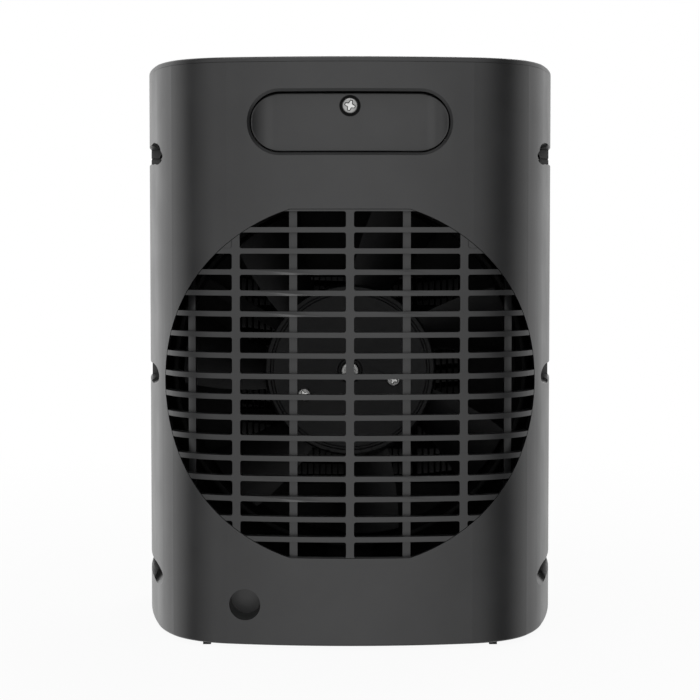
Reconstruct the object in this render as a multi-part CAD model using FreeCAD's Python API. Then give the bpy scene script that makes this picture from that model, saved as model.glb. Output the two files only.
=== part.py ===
"""Ceramic space heater: curved two-part plastic housing, rear intake grille, axial fan, ceramic heating core.

Frame: +Z up, the controls and the warm-air outlet face -Y, the intake grille faces +Y, and the origin is
under the middle of the heater at the level it stands on. All sizes are in millimetres. Depths are measured
forwards from the rearmost line of the housing, and y_at() turns a depth into a Y coordinate.
"""
import FreeCAD, Part
import math
import os

V = FreeCAD.Vector
UP = V(0, 0, 1)
REARWARD = V(0, 1, 0)
FORWARD = V(0, -1, 0)

# Overall size
HEIGHT = 240.0
TOTAL_DEPTH = 164.0          # rear of the housing to the front of the knobs
REAR_Y = TOTAL_DEPTH / 2
BODY_DEPTH = 155.0           # rear to front of the housing; the plan arcs below close at this depth

# Plan outline of the housing, from the rear middle round one side: (radius, angle where the arc ends)
SIDE_ARCS = ((240.0, 12.0), (35.0, 62.0), (85.0, 77.5), (400.0, 90.0))
FRONT_CORNER_R = 14.0
FRONT_R = 320.0

# Shells
WALL = 2.4
FIT = 0.15                   # gap between shells that nest in each other
BODY_BOTTOM = 1.7
CAP_SEAM = 237.9             # underside of the top cap
SPLIT_DEPTH = 125.0          # where the front housing meets the rear housing
EDGE_R = 0.8
SKIRT_DEPTH = 4.0
SKIRT_THICKNESS = 1.6
BASE_BOTTOM = 2.4
BASE_TOP = 4.8

# Rear grille: an oval opening with a flat top and bottom
GRILLE_Z = 108.3
GRILLE_RX = 77.2
GRILLE_RZ = 74.5
GRILLE_FLAT = 70.75          # half the height between the two flats
GRILLE_SEAM = 0.25
BAR_COUNT = 16
BAR_TOP_Z = 170.6
BAR_PITCH = 8.55             # at the top; the rows close up slightly towards the bottom
BAR_PITCH_TAPER = 0.0128
BAR_HEIGHT = 2.1
BAR_DEPTH = 4.4
POST_WIDTH = 3.2
FLUSH_POSTS = (-46.2, 0.0, 46.2)
INNER_POSTS = (-65.0, -23.0, 23.0, 65.0)
INNER_POST_DEPTHS = (4.0, 7.0)
POCKET_CORNER_R = 0.9
BLIND_ROW = 1                # in this row the two outermost pockets are filled in, with a fine groove round them
BLIND_GROOVE = (0.25, 0.4)   # width and depth
RIM_WIDTH = 5.0
RIM_DEPTH_LIMIT = 43.0       # how far round the sides the rim and the posts reach

# Grip plate above the grille
GRIP_Z = 213.9
GRIP_WIDTH = 80.0
GRIP_HEIGHT = 23.6
GRIP_GAP = 0.45
GRIP_BEVEL = 1.1
GRIP_INSET = 1.1
GRIP_THICKNESS = 3.2
GRIP_DISH = 1.4
GRIP_RIM = 2.2
GRIP_SCREW_Z = 220.5
SCREW_HEAD_R = 3.2
COUNTERBORE_R = 4.2

# Screw channels in the two side walls: height, distance of the axis from the middle, radius
CHANNELS = ((203.2, 83.8, 4.6), (108.9, 85.0, 4.3), (23.8, 83.2, 4.4))
CHANNEL_LOBE = (201.2, 81.2, 3.05)   # the top channel is widened inwards by this round lobe
CHANNEL_SLOT = (203.1, 0.8)          # middle height and width of the slot across the end of the top channel
CHANNEL_END = 119.0
SCREW_SEAT = 122.0
SCREW_BORE_R = 3.2
CHANNEL_WALL = 1.5
BOSS_R = 3.4
PILOT_R = 1.4

# Inlet for the mains lead
INLET_X = 42.9
INLET_Z = 18.1
INLET_R = 6.4
INLET_WALL = 1.8
INLET_DEPTH = 21.0           # floor of the bore, from the rearmost line

# Fan
FAN_Z = 110.0
HUB_R = 36.8
HUB_REAR = 62.0
HUB_FRONT = 84.0
HUB_WALL = 2.5
HUB_GROOVE = (33.2, 34.5, 1.6)
HUB_EDGE_R = 0.9
BLADE_COUNT = 7
BLADE_TIP_R = 72.2
BLADE_DEPTHS = (64.5, 81.5)
BLADE_SPAN_DEG = 28.0
BLADE_SWEEP_DEG = 10.0
BLADE_THICKNESS = 1.6
BLADE_FIRST_DEG = 37.6       # leading edge of the first blade at the hub, from +X towards +Z
DUCT_R = 74.0
DUCT_WALL = 1.6
DUCT_DEPTHS = (58.0, 94.0)
BULKHEAD = (91.5, 94.0)
BULKHEAD_Z = (12.0, 200.0)
SHAFT_R = 2.0
SHAFT_CLEARANCE = 0.05
SHAFT_DEPTHS = (61.2, 98.0)
MOTOR_R = 28.0
MOTOR_DEPTHS = (67.0, 99.0)
MOTOR_FLANGE_R = 34.0
MOTOR_SCREW_R = 31.0
SHAFT_CAP_R = 3.9
CAP_RING_R = 5.3
HUB_SCREWS = ((19.8, -10.4), (-18.8, -3.9))
HUB_SCREW_R = 2.8

# Heating core
CORE_Z = 104.0
CORE_SIZE = (100.0, 14.0, 96.0)
CORE_REAR = 106.0
CORE_ROWS = 6
CERAMIC_HEIGHT = 2.4
FIN_COUNT = 37
FIN_THICKNESS = 0.4
FRAME_RAIL = 6.0
BAFFLE = (103.5, 105.0)
STANDOFF_X = 66.0
STANDOFF_Z = (30.0, 184.0)

# Front outlet and controls
OUTLET_Z = 104.0
OUTLET_SIZE = (122.0, 122.0)
OUTLET_CORNER_R = 16.0
SLAT_COUNT = 14
SLAT_THICKNESS = 1.8
SLAT_CHORD = 11.0
SLAT_TILT_DEG = 44.0         # the slats slope so that nothing shows or pokes straight through
OUTLET_FRAME_DEPTH = 9.5
KNOB_Z = 205.0
KNOB_X = 36.0
KNOB_R = 15.0
KNOB_DEPTHS = (152.6, TOTAL_DEPTH)
KNOB_SEAT_R = 17.0
KNOB_SEAT_DEPTHS = (149.6, 152.0)
SPINDLE_R = 3.0
LENS_Z = 216.0
LENS_R = 2.6

# Underside
FOOT_X = 59.0
FOOT_WIDTH = 3.2
FOOT_LENGTH = 16.0
FOOT_DEPTHS = (21.5, 128.0)  # middle of the rear and front feet
PLUNGER_DEPTH = 80.0
PLUNGER_R = 6.0
STEM_R = 2.4
BASE_SCREWS = ((77.8, 56.0), (84.4, 114.0))
BASE_BOSS_R = 4.6


def y_at(depth):
    """Y coordinate of a depth measured forwards from the rearmost line."""
    return REAR_Y - depth


def polar(centre, radius, angle):
    """Point on a plan circle; the angle runs from +Y towards +X, in radians."""
    return V(centre[0] + radius * math.sin(angle), centre[1] + radius * math.cos(angle), 0)


def plan_arcs():
    """Centre, radius, start and end angle of each arc on the +X side, rear to front."""
    arcs = []
    centre = (0.0, REAR_Y - SIDE_ARCS[0][0])
    radius, start = SIDE_ARCS[0][0], 0.0
    for next_radius, end_deg in SIDE_ARCS:
        joint = polar(centre, radius - next_radius, start)
        centre, radius = (joint.x, joint.y), next_radius
        end = math.radians(end_deg)
        arcs.append((centre, radius, start, end))
        start = end
    joint = polar(centre, radius - FRONT_CORNER_R, start)
    corner = (joint.x, joint.y)
    end = math.pi - math.asin(corner[0] / (FRONT_R - FRONT_CORNER_R))
    arcs.append((corner, FRONT_CORNER_R, start, end))
    joint = polar(corner, FRONT_CORNER_R - FRONT_R, end)
    arcs.append(((joint.x, joint.y), FRONT_R, end, math.pi))
    return arcs


PLAN = plan_arcs()


def outline(inset, z):
    """Closed plan outline, moved inwards by inset, at height z."""
    edges = []
    for side in (1, -1):
        for centre, radius, start, end in PLAN:
            angles = (start, (start + end) / 2, end)
            points = [polar(centre, radius - inset, angle) for angle in angles]
            points = [V(side * p.x, p.y, z) for p in points]
            edges.append(Part.Arc(*points).toShape())
    return Part.Wire(Part.__sortEdges__(edges))


def prism(inset, bottom, top):
    """Solid of the plan outline between two heights."""
    return Part.Face(outline(inset, bottom)).extrude(UP * (top - bottom))


def band(outer, inner, bottom, top):
    """Wall that follows the plan outline between two insets."""
    return prism(outer, bottom, top).cut(prism(inner, bottom - 1, top + 1))


def rounded(solid, z):
    """The solid with its edges at height z rounded."""
    edges = [e for e in solid.Edges if all(abs(v.Z - z) < 0.01 for v in e.Vertexes)]
    return solid.makeFillet(EDGE_R, edges)


def rear_depth(x):
    """Depth of the housing's rear surface at a distance x from the middle."""
    for centre, radius, start, end in PLAN:
        sine = (abs(x) - centre[0]) / radius
        if math.sin(start) - 1e-9 <= sine <= math.sin(end):
            return REAR_Y - centre[1] - radius * math.sqrt(1 - sine * sine)
    raise ValueError("x is outside the housing")


def rod(radius, x, z, rear, front):
    """Cylinder along Y between two depths."""
    return Part.makeCylinder(radius, front - rear, V(x, y_at(rear), z), FORWARD)


def ring(outer, inner, x, z, rear, front):
    """Tube along Y between two depths."""
    return rod(outer, x, z, rear, front).cut(rod(inner, x, z, rear - 1, front + 1))


def block(x0, x1, rear, front, z0, z1):
    """Box between two depths."""
    return Part.makeBox(x1 - x0, front - rear, z1 - z0, V(x0, y_at(front), z0))


def fuse(shapes):
    """One clean solid from several that overlap."""
    return shapes[0].multiFuse(shapes[1:]).removeSplitter() if len(shapes) > 1 else shapes[0]


def round_rect(width, height, radius, x, z, rear, front):
    """Rounded rectangle in X and Z, as a solid along Y between two depths."""
    hw, hh = width / 2, height / 2
    k = radius * (1 - math.sqrt(0.5))
    y = y_at(rear)
    corners = ((1, 1), (-1, 1), (-1, -1), (1, -1))
    edges = []
    for i, (sx, sz) in enumerate(corners):
        beside = V(x + sx * hw, y, z + sz * (hh - radius))
        above = V(x + sx * (hw - radius), y, z + sz * hh)
        middle = V(x + sx * (hw - k), y, z + sz * (hh - k))
        first, last = (beside, above) if i % 2 == 0 else (above, beside)
        edges.append(Part.Arc(first, middle, last).toShape())
    for i in range(4):
        a = edges[i].Vertexes[-1].Point
        b = edges[(i + 1) % 4].Vertexes[0].Point
        if a.distanceToPoint(b) > 0.001:
            edges.append(Part.LineSegment(a, b).toShape())
    wire = Part.Wire(Part.__sortEdges__(edges))
    return Part.Face(wire).extrude(FORWARD * (front - rear))


def stadium(width, height, z, rear, front):
    """Slot shape with round ends, as a solid along Y between two depths."""
    return round_rect(width, height, height / 2 - 0.001, 0, z, rear, front)


def grille_opening(grow, rear=-5.0, front=RIM_DEPTH_LIMIT):
    """Oval with a flat top and bottom, as a solid along Y; grow widens it all round."""
    y = y_at(rear)
    centre = V(0, y, GRILLE_Z)
    ellipse = Part.Ellipse(centre + V(GRILLE_RX + grow, 0, 0), centre + V(0, 0, GRILLE_RZ + grow), centre)
    oval = Part.Face(Part.Wire(ellipse.toShape())).extrude(FORWARD * (front - rear))
    half = GRILLE_FLAT + grow
    return oval.common(block(-100, 100, rear - 1, front + 1, GRILLE_Z - half, GRILLE_Z + half))


def bar_heights():
    """Centre heights of the horizontal bars, top to bottom."""
    return [BAR_TOP_Z - BAR_PITCH * i + BAR_PITCH_TAPER * i * i for i in range(BAR_COUNT)]


def grille_pockets():
    """The air gaps: one row between each pair of bars, one column between each pair of flush posts."""
    edges_x = [-90.0, *FLUSH_POSTS, 90.0]
    heights = bar_heights()
    heights = [heights[0] + BAR_PITCH] + heights + [heights[-1] - BAR_PITCH]
    groove, groove_depth = BLIND_GROOVE
    skin = band(-1, groove_depth, GRILLE_Z, GRILLE_Z + 90)
    pockets = []
    for row, (upper, lower) in enumerate(zip(heights, heights[1:])):
        middle = (upper + lower) / 2
        height = upper - lower - BAR_HEIGHT
        for left, right in zip(edges_x, edges_x[1:]):
            width = right - left - POST_WIDTH
            x = (left + right) / 2
            pocket = round_rect(width, height, POCKET_CORNER_R, x, middle, -5, 60)
            if row != BLIND_ROW or abs(x) < FLUSH_POSTS[-1]:
                pockets.append(pocket)
                continue
            core = round_rect(width - 2 * groove, height - 2 * groove, POCKET_CORNER_R - groove, x, middle, -6, 61)
            pockets.append(pocket.cut(core).common(skin))
    return pockets


def rear_grille():
    """Grille insert: flush bars and posts, deeper posts behind them, and a rim behind the housing wall."""
    bottom, top = GRILLE_Z - 90, GRILLE_Z + 90
    face = band(0, BAR_DEPTH, bottom, top).common(grille_opening(-GRILLE_SEAM))
    ends = band(WALL + FIT, BAR_DEPTH, bottom, top).common(grille_opening(RIM_WIDTH))
    lattice = fuse([face, ends]).cut(Part.makeCompound(grille_pockets()))
    rim = grille_opening(RIM_WIDTH).cut(grille_opening(0.4))
    rim = band(WALL + FIT, BAR_DEPTH + 1.2, bottom, top).common(rim)
    shallow, deep = INNER_POST_DEPTHS
    layer = band(shallow, deep, bottom, top).common(grille_opening(RIM_WIDTH))
    posts = []
    for x in INNER_POSTS:
        posts.append(layer.common(block(x - POST_WIDTH / 2, x + POST_WIDTH / 2, -5, 60, bottom, top)))
    channels = [channel(spot, CHANNEL_WALL + 0.3, 0, 60) for spot in channel_spots()]
    return fuse([lattice, rim] + posts).cut(Part.makeCompound(channels))


def channel_spots():
    """Side, height, axis distance and radius of the six screw channels."""
    return [(side, z, x, r) for side in (-1, 1) for z, x, r in CHANNELS]


def channel(spot, grow, rear, front):
    """Side channel as a solid: a round bore that opens outwards; grow widens it all round."""
    side, z, x, r = spot
    half = 0.9 * r + grow
    near, far = sorted((side * x, side * 100))
    pieces = [rod(r + grow, side * x, z, rear, front), block(near, far, rear, front, z - half, z + half)]
    if z == CHANNELS[0][0]:
        lobe_z, lobe_x, lobe_r = CHANNEL_LOBE
        pieces.append(rod(lobe_r + grow, side * lobe_x, lobe_z, rear, front))
    return fuse(pieces)


def rear_housing():
    """Rear shell with the grille opening, grip opening, lead inlet and the six screw channels."""
    outer = rounded(prism(0, BODY_BOTTOM, CAP_SEAM), BODY_BOTTOM)
    behind_split = block(-120, 120, -10, SPLIT_DEPTH, -10, 260)
    shell = outer.cut(prism(WALL, -10, 260)).common(behind_split)
    tubes = [channel(spot, CHANNEL_WALL, 10, SCREW_SEAT + 1.5) for spot in channel_spots()]
    bosses = []
    for x, depth in BASE_SCREWS:
        for side in (-1, 1):
            bosses.append(Part.makeCylinder(BASE_BOSS_R, 11, V(side * x, y_at(depth), BASE_TOP), UP))
    inside = prism(WALL / 2, BODY_BOTTOM, CAP_SEAM)
    shell = fuse([shell] + [part.common(inside) for part in tubes + bosses])
    cuts = [channel(spot, 0, -10, CHANNEL_END) for spot in channel_spots()]
    cuts += [rod(SCREW_BORE_R, side * x, z, 100, SCREW_SEAT) for side, z, x, r in channel_spots()]
    cuts += [rod(1.7, side * x, z, 100, SCREW_SEAT + 9) for side, z, x, r in channel_spots()]
    slot_z, slot = CHANNEL_SLOT
    cuts += [block(min(side * 79, side * 100), max(side * 79, side * 100), CHANNEL_END - 1, SCREW_SEAT,
                   slot_z - slot / 2, slot_z + slot / 2) for side in (-1, 1)]
    for x, depth in BASE_SCREWS:
        for side in (-1, 1):
            cuts.append(Part.makeCylinder(PILOT_R, 13, V(side * x, y_at(depth), BASE_TOP - 1), UP))
    cuts.append(grille_opening(0, front=60.0))
    cuts.append(rod(INLET_R + INLET_WALL, INLET_X, INLET_Z, -10, 30))
    cuts.append(stadium(GRIP_WIDTH + 2 * GRIP_GAP, GRIP_HEIGHT + 2 * GRIP_GAP, GRIP_Z, -5, 30))
    shell = shell.cut(Part.makeCompound(cuts))
    return bevel_grip_opening(shell)


def bevel_grip_opening(shell):
    """The shell with a bevel round the outer edge of its grip opening."""
    width = GRIP_WIDTH + 2 * GRIP_GAP
    edges = []
    for edge in shell.Edges:
        box = edge.BoundBox
        inside = box.ZMin > GRIP_Z - GRIP_HEIGHT and box.ZMax < GRIP_Z + GRIP_HEIGHT
        if not inside or box.XMax > width / 2 + 0.5 or box.XMin < -width / 2 - 0.5:
            continue
        middle = edge.valueAt((edge.FirstParameter + edge.LastParameter) / 2)
        if abs(y_at(rear_depth(middle.x)) - middle.y) < 0.05:
            edges.append(edge)
    return shell.makeChamfer(GRIP_BEVEL, edges)


def front_housing():
    """Front shell: fascia with the outlet opening, two knob seats and the screw bosses."""
    outer = rounded(prism(0, BODY_BOTTOM, CAP_SEAM), BODY_BOTTOM)
    ahead = block(-120, 120, SPLIT_DEPTH + 0.1, 200, -10, 260)
    shell = outer.cut(prism(WALL, -10, 260)).common(ahead)
    inside = prism(WALL / 2, BODY_BOTTOM, CAP_SEAM)
    rear, front = KNOB_SEAT_DEPTHS
    seats = [rod(KNOB_SEAT_R + 1.6, side * KNOB_X, KNOB_Z, rear, 200).common(inside) for side in (-1, 1)]
    bosses = []
    for side, z, x, r in channel_spots():
        boss = rod(BOSS_R, side * x, z, SCREW_SEAT + 1.5 + FIT, 200)
        bosses += [boss.common(prism(WALL + FIT, 0, CAP_SEAM)), boss.common(ahead).common(inside)]
    shell = fuse([shell] + seats + bosses)
    width, height = OUTLET_SIZE
    cuts = [round_rect(width, height, OUTLET_CORNER_R, 0, OUTLET_Z, 100, 200)]
    for side in (-1, 1):
        cuts.append(rod(KNOB_SEAT_R, side * KNOB_X, KNOB_Z, front, 200))
        cuts.append(rod(SPINDLE_R + 0.4, side * KNOB_X, KNOB_Z, 130, 200))
    cuts += [rod(PILOT_R, side * x, z, 100, SCREW_SEAT + 16) for side, z, x, r in channel_spots()]
    cuts.append(rod(LENS_R, 0, LENS_Z, 140, 200))
    return shell.cut(Part.makeCompound(cuts))


def front_grille():
    """Outlet grille: sloping slats and three posts in a frame that seats behind the fascia."""
    width, height = OUTLET_SIZE
    bottom, top = OUTLET_Z - height, OUTLET_Z + height
    opening = round_rect(width - 0.4, height - 0.4, OUTLET_CORNER_R - 0.2, 0, OUTLET_Z, 100, 200)
    flange = round_rect(width + 8, height + 8, OUTLET_CORNER_R + 4, 0, OUTLET_Z, 100, 200)
    window = round_rect(width - 6, height - 6, OUTLET_CORNER_R - 3, 0, OUTLET_Z, 90, 210)
    frame = fuse([band(0.5, OUTLET_FRAME_DEPTH, bottom, top).common(opening),
                  band(WALL + FIT, WALL + 2, bottom, top).common(flange)]).cut(window)
    layer = band(1.2, OUTLET_FRAME_DEPTH, bottom, top).common(opening)
    pitch = (height - 4) / SLAT_COUNT
    pieces = [frame]
    for i in range(SLAT_COUNT):
        z = OUTLET_Z + pitch * (i - (SLAT_COUNT - 1) / 2)
        slat = Part.makeBox(width, SLAT_CHORD + 12, SLAT_THICKNESS)
        slat.translate(V(-width / 2, -SLAT_CHORD / 2 - 6, -SLAT_THICKNESS / 2))
        slat.rotate(V(0, 0, 0), V(1, 0, 0), SLAT_TILT_DEG)
        slat.translate(V(0, y_at(BODY_DEPTH - 5.5), z))
        pieces.append(slat.common(layer))
    for x in (-width / 4, 0, width / 4):
        pieces.append(layer.common(block(x - 1.2, x + 1.2, 100, 200, bottom, top)).common(opening))
    return fuse(pieces)


def top_cap():
    """Lid with a thin visible edge and a skirt inside the housing walls."""
    lid = rounded(prism(0, CAP_SEAM, HEIGHT), HEIGHT)
    skirt = band(WALL + FIT, WALL + FIT + SKIRT_THICKNESS, CAP_SEAM - SKIRT_DEPTH, CAP_SEAM + 0.5)
    return fuse([lid, skirt])


def base_plate():
    """Flat base inside the housing walls, with a hole for the tip-over plunger and countersunk screw holes."""
    plate = prism(WALL + FIT, BASE_BOTTOM, BASE_TOP)
    holes = [Part.makeCylinder(PLUNGER_R + 0.4, 10, V(0, y_at(PLUNGER_DEPTH), 0), UP)]
    for x, depth in BASE_SCREWS:
        for side in (-1, 1):
            holes.append(Part.makeCylinder(1.6, 10, V(side * x, y_at(depth), 0), UP))
    return plate.cut(Part.makeCompound(holes))


def grip_plate():
    """Shallow dished plate that fills the grip opening, with a counterbored screw hole."""
    bottom, top = GRIP_Z - 20, GRIP_Z + 20
    plate = band(GRIP_INSET, GRIP_INSET + GRIP_THICKNESS, bottom, top)
    plate = plate.common(stadium(GRIP_WIDTH, GRIP_HEIGHT, GRIP_Z, -5, 30))
    dish = band(0, GRIP_INSET + GRIP_DISH, bottom, top)
    dish = dish.common(stadium(GRIP_WIDTH - 2 * GRIP_RIM, GRIP_HEIGHT - 2 * GRIP_RIM, GRIP_Z, -5, 30))
    flange = band(WALL + FIT, GRIP_INSET + GRIP_THICKNESS, bottom, top)
    flange = flange.common(stadium(GRIP_WIDTH + 6, GRIP_HEIGHT + 6, GRIP_Z, -5, 30))
    seat = rod(COUNTERBORE_R + 1.4, 0, GRIP_SCREW_Z, GRIP_INSET + 0.2, 6.5)
    body = fuse([plate.cut(dish), flange, seat])
    return body.cut(rod(COUNTERBORE_R, 0, GRIP_SCREW_Z, -5, 4.2)).cut(rod(1.5, 0, GRIP_SCREW_Z, 0, 20))


def pan_screw(head_r, shank_r, length, x, z, depth):
    """Pan-head screw along Y whose head sits behind the given depth."""
    head = rod(head_r, x, z, depth - 0.62 * head_r, depth)
    rim = max(head.Edges, key=lambda e: e.BoundBox.YMax if e.BoundBox.YLength < 0.01 else -1e9)
    head = head.makeChamfer(0.3 * head_r, [rim])
    return fuse([head, rod(shank_r, x, z, depth - 0.2, depth + length)])


def grip_screw():
    """Screw that holds the grip plate."""
    return pan_screw(SCREW_HEAD_R, 1.5, 9.0, 0, GRIP_SCREW_Z, 4.2)


def housing_screws():
    """The six screws at the ends of the side channels."""
    return Part.makeCompound([pan_screw(2.9, PILOT_R, 14.0, side * x, z, SCREW_SEAT)
                              for side, z, x, r in channel_spots()])


def cord_socket():
    """Blind cup behind the round inlet for the mains lead."""
    cup = rod(INLET_R + INLET_WALL, INLET_X, INLET_Z, 0, INLET_DEPTH + 2).common(prism(0, 0, 60))
    return cup.cut(rod(INLET_R, INLET_X, INLET_Z, -5, INLET_DEPTH))


def blade():
    """One swept blade with its leading edge at the first blade angle, hub to tip."""
    rear, front = BLADE_DEPTHS
    sections = []
    for step in range(4):
        radius = HUB_R - 2 + (BLADE_TIP_R + 4 - HUB_R) * step / 3
        share = step / 3
        lead = math.radians(BLADE_FIRST_DEG + BLADE_SWEEP_DEG * share)
        trail = lead + math.radians(BLADE_SPAN_DEG * (1 - 0.08 * share))
        sections.append(blade_section(radius, lead, trail, rear, front))
    solid = Part.makeLoft(sections, True, False)
    tip = rod(BLADE_TIP_R, 0, FAN_Z, rear - 5, front + 5)
    return solid.common(tip)


def blade_section(radius, lead, trail, rear, front):
    """Thin cambered section across the blade at one radius; it stands square to its own spoke."""
    middle_angle = (lead + trail) / 2
    outward = V(math.cos(middle_angle), 0, math.sin(middle_angle))
    across = V(-math.sin(middle_angle), 0, math.cos(middle_angle))
    centre = V(0, 0, FAN_Z) + outward * radius
    half = radius * math.sin((lead - trail) / 2)
    camber = 2.6
    t = BLADE_THICKNESS / 2
    front_y, rear_y = y_at(front), y_at(rear)
    lead_point = centre + across * half + V(0, rear_y, 0)
    trail_point = centre - across * half + V(0, front_y, 0)
    middle = centre + V(0, (rear_y + front_y) / 2, 0)
    chord = lead_point - trail_point
    normal = chord.cross(outward).normalize()
    if normal.y < 0:
        normal = normal * -1
    upper = Part.Arc(trail_point, middle + normal * (camber + t), lead_point).toShape()
    lower = Part.Arc(lead_point, middle + normal * (camber - t), trail_point).toShape()
    return Part.Wire([upper, lower])


def fan_impeller():
    """Closed cup hub with seven swept blades."""
    cup = rod(HUB_R, 0, FAN_Z, HUB_REAR, HUB_FRONT)
    rear_edge = max(cup.Edges, key=lambda edge: edge.CenterOfMass.y)
    cup = cup.makeFillet(HUB_EDGE_R, [rear_edge])
    cup = cup.cut(rod(HUB_R - HUB_WALL, 0, FAN_Z, HUB_REAR + HUB_WALL, HUB_FRONT + 1))
    inner, outer, depth = HUB_GROOVE
    cup = cup.cut(ring(outer, inner, 0, FAN_Z, HUB_REAR - 1, HUB_REAR + depth))
    cup = cup.cut(ring(CAP_RING_R, SHAFT_CAP_R, 0, FAN_Z, HUB_REAR - 1, HUB_REAR + 1.2))
    first = blade().cut(rod(HUB_R - HUB_WALL / 2, 0, FAN_Z, 40, 100))
    blades = []
    for i in range(BLADE_COUNT):
        copy = first.copy()
        copy.rotate(V(0, 0, FAN_Z), REARWARD, 360.0 / BLADE_COUNT * i)
        blades.append(copy)
    wheel = fuse([cup] + blades)
    holes = [rod(SHAFT_R, 0, FAN_Z, 0, 120)]
    holes += [rod(1.2, x, FAN_Z + dz, 0, 120) for x, dz in HUB_SCREWS]
    return wheel.cut(Part.makeCompound(holes))


def motor_shaft():
    """Fan shaft, from the cap on the hub to the front bearing."""
    rear, front = SHAFT_DEPTHS
    return rod(SHAFT_R, 0, FAN_Z, rear, front)


def shaft_cap():
    """Bright press-on cap on the end of the shaft, with a dished face."""
    length = 2.6
    cap = rod(SHAFT_CAP_R, 0, FAN_Z, HUB_REAR - length, HUB_REAR)
    rim = max(cap.Edges, key=lambda e: e.BoundBox.YMax if e.BoundBox.YLength < 0.01 else -1e9)
    cap = cap.makeFillet(0.8, [rim])
    dish = Part.makeCone(SHAFT_CAP_R - 1.2, 0.6, 1.4, V(0, y_at(HUB_REAR - length), FAN_Z), FORWARD)
    return cap.cut(dish).cut(rod(SHAFT_R, 0, FAN_Z, SHAFT_DEPTHS[0], 70))


def hub_screws():
    """The two screws in the face of the hub."""
    return Part.makeCompound([pan_screw(HUB_SCREW_R, 1.2, 2.3, x, FAN_Z + dz, HUB_REAR) for x, dz in HUB_SCREWS])


def motor_spots(radius):
    """Positions round the motor axis at the three bracket arms."""
    angles = [math.radians(90 + 120 * i) for i in range(3)]
    return [(radius * math.cos(a), FAN_Z + radius * math.sin(a)) for a in angles]


def motor_body():
    """Round motor can with a mounting flange and a running bore for the shaft."""
    rear, front = MOTOR_DEPTHS
    can = rod(MOTOR_R, 0, FAN_Z, rear, front)
    flange = rod(MOTOR_FLANGE_R, 0, FAN_Z, BULKHEAD[1], BULKHEAD[1] + 2)
    nose = rod(6.0, 0, FAN_Z, front - 1, front + 3)
    body = fuse([can, flange, nose])
    bores = [rod(SHAFT_R + SHAFT_CLEARANCE, 0, FAN_Z, rear - 1, SHAFT_DEPTHS[1] + 0.5)]
    bores += [rod(1.6, x, z, 80, 110) for x, z in motor_spots(MOTOR_SCREW_R)]
    return body.cut(Part.makeCompound(bores))


def motor_screws():
    """The three screws that hold the motor flange to its seat."""
    screws = []
    for x, z in motor_spots(MOTOR_SCREW_R):
        head = rod(2.7, x, z, BULKHEAD[1] + 2, BULKHEAD[1] + 3.8)
        screws.append(fuse([head, rod(1.3, x, z, BULKHEAD[0] - 2, BULKHEAD[1] + 3)]))
    return Part.makeCompound(screws)


def fan_duct():
    """Round duct round the blades, a bulkhead across the housing and three arms to the motor seat."""
    rear, front = BULKHEAD
    plate = prism(WALL + 0.4, *BULKHEAD_Z).common(block(-120, 120, rear, front, 0, 240))
    wall = rod(DUCT_R + DUCT_WALL, 0, FAN_Z, *DUCT_DEPTHS)
    body = fuse([plate, wall]).cut(rod(DUCT_R, 0, FAN_Z, 40, 120))
    seat = ring(MOTOR_FLANGE_R, MOTOR_R + 0.1, 0, FAN_Z, rear, front)
    arms = []
    for i in range(3):
        arm = block(-2.5, 2.5, rear, front, FAN_Z + MOTOR_R + 2, FAN_Z + DUCT_R + 1)
        arm.rotate(V(0, 0, FAN_Z), REARWARD, 60 + 120 * i)
        arms.append(arm)
    body = fuse([body, seat] + arms)
    notches = [channel(spot, CHANNEL_WALL + 0.5, 80, 110) for spot in channel_spots()]
    holes = [rod(1.3, x, z, 80, 110) for x, z in motor_spots(MOTOR_SCREW_R)]
    return body.cut(Part.makeCompound(notches + holes))


def ptc_core():
    """Ceramic heating strips with a bank of thin aluminium fins between each pair."""
    width, depth, height = CORE_SIZE
    front = CORE_REAR + depth
    bottom = CORE_Z - height / 2
    pitch = (height - CERAMIC_HEIGHT) / CORE_ROWS
    pieces = []
    for i in range(CORE_ROWS + 1):
        z = bottom + pitch * i
        pieces.append(block(-width / 2, width / 2, CORE_REAR, front, z, z + CERAMIC_HEIGHT))
    fin_pitch = (width - FIN_THICKNESS) / (FIN_COUNT - 1)
    for i in range(FIN_COUNT):
        x = -width / 2 + fin_pitch * i
        pieces.append(block(x, x + FIN_THICKNESS, CORE_REAR + 0.5, front - 0.5, bottom, bottom + height))
    return fuse(pieces)


def ptc_frame():
    """Heat-resistant frame round the heating core, seated on the baffle."""
    width, depth, height = CORE_SIZE
    outer = block(-width / 2 - FRAME_RAIL, width / 2 + FRAME_RAIL, BAFFLE[1], CORE_REAR + depth + 1,
                  CORE_Z - height / 2 - FRAME_RAIL, CORE_Z + height / 2 + FRAME_RAIL)
    return outer.cut(block(-width / 2, width / 2, 90, 140, CORE_Z - height / 2, CORE_Z + height / 2))


def core_baffle():
    """Plate across the housing that sends all the air through the core, on four standoffs from the bulkhead."""
    width, depth, height = CORE_SIZE
    rear, front = BAFFLE
    plate = prism(WALL + 0.4, *BULKHEAD_Z).common(block(-120, 120, rear, front, 0, 240))
    spots = [(side * STANDOFF_X, z) for side in (-1, 1) for z in STANDOFF_Z]
    body = fuse([plate] + [rod(3.0, x, z, BULKHEAD[1], rear + 0.5) for x, z in spots])
    cuts = [block(-width / 2, width / 2, 90, 140, CORE_Z - height / 2, CORE_Z + height / 2)]
    cuts += [channel(spot, CHANNEL_WALL + 0.5, 90, 120) for spot in channel_spots()]
    return body.cut(Part.makeCompound(cuts))


def ptc_terminals():
    """Three flat tabs on top of the heating core's frame."""
    top = CORE_Z + CORE_SIZE[2] / 2 + FRAME_RAIL
    return Part.makeCompound([block(x - 3.1, x + 3.1, 112.6, 113.4, top, top + 9) for x in (-30, 0, 30)])


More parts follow.
